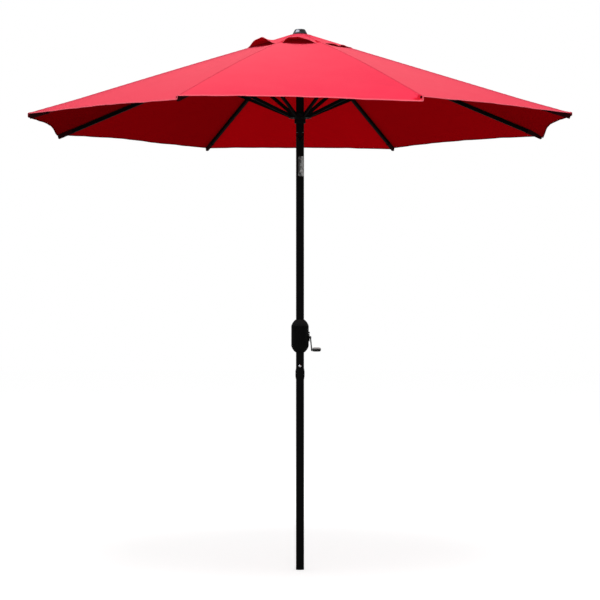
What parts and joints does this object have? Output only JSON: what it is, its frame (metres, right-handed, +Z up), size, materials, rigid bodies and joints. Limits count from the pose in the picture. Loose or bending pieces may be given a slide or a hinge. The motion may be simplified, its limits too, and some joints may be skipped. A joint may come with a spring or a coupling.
{
  "type": "market umbrella",
  "caption": "Garden umbrella without a base: eight-rib vented canopy on a two-piece pole, with crank lift, sliding runner and push-button tilt.",
  "frame": {"origin": "centre of the pole's lower end, on the underside of its end plug", "axes": "+Z up along the pole, -Y the front with the snap button, +X the side with the crank"},
  "size_m": [2.412, 2.412, 2.5455],
  "materials": {
    "pole_black": "satin",
    "rib_black": "satin",
    "joiner_steel": "satin",
    "moulded_black": "matte",
    "cast_black": "satin",
    "bright_steel": "satin",
    "arm_steel": "satin",
    "snap_chrome": "polished",
    "knob_black": "gloss",
    "finial_black": "gloss",
    "canopy_red": "matte"
  },
  "bodies": {
    "pole_base": {"lower_pole": "pole_black", "foot_plug": "moulded_black", "pole_sleeve": "moulded_black", "joiner_tube": "joiner_steel", "main_pole": "pole_black", "crank_housing_front": "moulded_black", "crank_housing_rear": "moulded_black", "housing_screws": "bright_steel", "tilt_lower_knuckle": "cast_black", "tilt_pin": "cast_black", "snap_spring": "bright_steel"},
    "snap_button": {"snap_button": "snap_chrome"},
    "crank": {"crank_shaft": "bright_steel", "crank_spool": "moulded_black", "crank_arm": "arm_steel", "knob_pin": "bright_steel"},
    "crank_knob": {"crank_knob": "knob_black"},
    "tilt_button": {"tilt_button": "moulded_black"},
    "pole_top": {"tilt_upper_knuckle": "cast_black", "upper_pole": "pole_black", "hub": "moulded_black", "hub_pins": "bright_steel", "pulley_axle": "bright_steel", "finial": "finial_black", "crown_patch": "canopy_red"},
    "pulley": {"pulley": "moulded_black"},
    "runner": {"runner": "moulded_black", "runner_pins": "bright_steel"},
    "rib_1": {"rib_1": "rib_black", "rib_fittings_1": "moulded_black", "canopy_panel_1": "canopy_red"},
    "strut_1": {"strut_1": "rib_black"},
    "rib_2": {"rib_2": "rib_black", "rib_fittings_2": "moulded_black", "canopy_panel_2": "canopy_red"},
    "strut_2": {"strut_2": "rib_black"},
    "rib_3": {"rib_3": "rib_black", "rib_fittings_3": "moulded_black", "canopy_panel_3": "canopy_red"},
    "strut_3": {"strut_3": "rib_black"},
    "rib_4": {"rib_4": "rib_black", "rib_fittings_4": "moulded_black", "canopy_panel_4": "canopy_red"},
    "strut_4": {"strut_4": "rib_black"},
    "rib_5": {"rib_5": "rib_black", "rib_fittings_5": "moulded_black", "canopy_panel_5": "canopy_red"},
    "strut_5": {"strut_5": "rib_black"},
    "rib_6": {"rib_6": "rib_black", "rib_fittings_6": "moulded_black", "canopy_panel_6": "canopy_red"},
    "strut_6": {"strut_6": "rib_black"},
    "rib_7": {"rib_7": "rib_black", "rib_fittings_7": "moulded_black", "canopy_panel_7": "canopy_red"},
    "strut_7": {"strut_7": "rib_black"},
    "rib_8": {"rib_8": "rib_black", "rib_fittings_8": "moulded_black", "canopy_panel_8": "canopy_red"},
    "strut_8": {"strut_8": "rib_black"}
  },
  "joints": [
    {"name": "fold", "type": "hinge", "parent": "pole_top", "child": "rib_1", "pos_m": [0.04157, 0.01722, 2.503], "axis": [-0.3827, 0.9239, 0], "range_deg": [0, 66.5], "deforming": ["canopy_panel_1"]},
    {"name": "rib_2_fold", "type": "hinge", "parent": "pole_top", "child": "rib_2", "pos_m": [0.01722, 0.04157, 2.503], "axis": [-0.9239, 0.3827, 0], "range_deg": [0, 66.5], "deforming": ["canopy_panel_2"]},
    {"name": "rib_3_fold", "type": "hinge", "parent": "pole_top", "child": "rib_3", "pos_m": [-0.01722, 0.04157, 2.503], "axis": [-0.9239, -0.3827, 0], "range_deg": [0, 66.5], "deforming": ["canopy_panel_3"]},
    {"name": "rib_4_fold", "type": "hinge", "parent": "pole_top", "child": "rib_4", "pos_m": [-0.04157, 0.01722, 2.503], "axis": [-0.3827, -0.9239, 0], "range_deg": [0, 66.5], "deforming": ["canopy_panel_4"]},
    {"name": "rib_5_fold", "type": "hinge", "parent": "pole_top", "child": "rib_5", "pos_m": [-0.04157, -0.01722, 2.503], "axis": [0.3827, -0.9239, 0], "range_deg": [0, 66.5], "deforming": ["canopy_panel_5"]},
    {"name": "rib_6_fold", "type": "hinge", "parent": "pole_top", "child": "rib_6", "pos_m": [-0.01722, -0.04157, 2.503], "axis": [0.9239, -0.3827, 0], "range_deg": [0, 66.5], "deforming": ["canopy_panel_6"]},
    {"name": "rib_7_fold", "type": "hinge", "parent": "pole_top", "child": "rib_7", "pos_m": [0.01722, -0.04157, 2.503], "axis": [0.9239, 0.3827, 0], "range_deg": [0, 66.5], "deforming": ["canopy_panel_7"]},
    {"name": "rib_8_fold", "type": "hinge", "parent": "pole_top", "child": "rib_8", "pos_m": [0.04157, -0.01722, 2.503], "axis": [0.3827, 0.9239, 0], "range_deg": [0, 66.5], "deforming": ["canopy_panel_8"]},
    {"name": "strut_1_swing", "type": "hinge", "parent": "rib_1", "child": "strut_1", "pos_m": [0.44526, 0.18443, 2.31927], "axis": [-0.3827, 0.9239, 0], "range_deg": [-133, 0]},
    {"name": "strut_2_swing", "type": "hinge", "parent": "rib_2", "child": "strut_2", "pos_m": [0.18443, 0.44526, 2.31927], "axis": [-0.9239, 0.3827, 0], "range_deg": [-133, 0]},
    {"name": "strut_3_swing", "type": "hinge", "parent": "rib_3", "child": "strut_3", "pos_m": [-0.18443, 0.44526, 2.31927], "axis": [-0.9239, -0.3827, 0], "range_deg": [-133, 0]},
    {"name": "strut_4_swing", "type": "hinge", "parent": "rib_4", "child": "strut_4", "pos_m": [-0.44526, 0.18443, 2.31927], "axis": [-0.3827, -0.9239, 0], "range_deg": [-133, 0]},
    {"name": "strut_5_swing", "type": "hinge", "parent": "rib_5", "child": "strut_5", "pos_m": [-0.44526, -0.18443, 2.31927], "axis": [0.3827, -0.9239, 0], "range_deg": [-133, 0]},
    {"name": "strut_6_swing", "type": "hinge", "parent": "rib_6", "child": "strut_6", "pos_m": [-0.18443, -0.44526, 2.31927], "axis": [0.9239, -0.3827, 0], "range_deg": [-133, 0]},
    {"name": "strut_7_swing", "type": "hinge", "parent": "rib_7", "child": "strut_7", "pos_m": [0.18443, -0.44526, 2.31927], "axis": [0.9239, 0.3827, 0], "range_deg": [-133, 0]},
    {"name": "strut_8_swing", "type": "hinge", "parent": "rib_8", "child": "strut_8", "pos_m": [0.44526, -0.18443, 2.31927], "axis": [0.3827, 0.9239, 0], "range_deg": [-133, 0]},
    {"name": "runner_slide", "type": "hinge", "parent": "strut_1", "child": "runner", "pos_m": [0.04157, 0.01722, 2.13555], "axis": [-0.3827, 0.9239, 0], "range_deg": [0, 66.5]},
    {"name": "crank_turn", "type": "hinge", "parent": "pole_base", "child": "crank", "pos_m": [0, 0, 1.093], "axis": [1, 0, 0], "range_deg": [0, 2465]},
    {"name": "pulley_turn", "type": "hinge", "parent": "pole_top", "child": "pulley", "pos_m": [0, 0.007, 2.458], "axis": [1, 0, 0], "range_deg": [0, 2560]},
    {"name": "knob_spin", "type": "hinge", "parent": "crank", "child": "crank_knob", "pos_m": [0.0788, 0, 1.037], "axis": [1, 0, 0], "continuous": true},
    {"name": "tilt", "type": "hinge", "parent": "pole_base", "child": "pole_top", "pos_m": [0, 0, 2.04], "axis": [1, 0, 0], "range_deg": [-35, 0]},
    {"name": "tilt_button_press", "type": "slide", "parent": "pole_base", "child": "tilt_button", "axis": [0, -1, 0], "range_m": [0, 0.003], "stiffness_N_per_m": 800, "springref_m": -0.002},
    {"name": "snap_button_press", "type": "slide", "parent": "pole_base", "child": "snap_button", "axis": [0, 1, 0], "range_m": [0, 0.004], "stiffness_N_per_m": 800, "springref_m": -0.002, "deforming": ["snap_spring"]}
  ],
  "couplings": [
    {"joint": "rib_2_fold", "follows": "fold", "ratio": 1},
    {"joint": "rib_3_fold", "follows": "fold", "ratio": 1},
    {"joint": "rib_4_fold", "follows": "fold", "ratio": 1},
    {"joint": "rib_5_fold", "follows": "fold", "ratio": 1},
    {"joint": "rib_6_fold", "follows": "fold", "ratio": 1},
    {"joint": "rib_7_fold", "follows": "fold", "ratio": 1},
    {"joint": "rib_8_fold", "follows": "fold", "ratio": 1},
    {"joint": "strut_1_swing", "follows": "fold", "ratio": -2},
    {"joint": "strut_2_swing", "follows": "fold", "ratio": -2},
    {"joint": "strut_3_swing", "follows": "fold", "ratio": -2},
    {"joint": "strut_4_swing", "follows": "fold", "ratio": -2},
    {"joint": "strut_5_swing", "follows": "fold", "ratio": -2},
    {"joint": "strut_6_swing", "follows": "fold", "ratio": -2},
    {"joint": "strut_7_swing", "follows": "fold", "ratio": -2},
    {"joint": "strut_8_swing", "follows": "fold", "ratio": -2},
    {"joint": "runner_slide", "follows": "fold", "ratio": 1},
    {"joint": "crank_turn", "follows": "fold", "ratio": 37.047},
    {"joint": "pulley_turn", "follows": "fold", "ratio": 38.472}
  ]
}
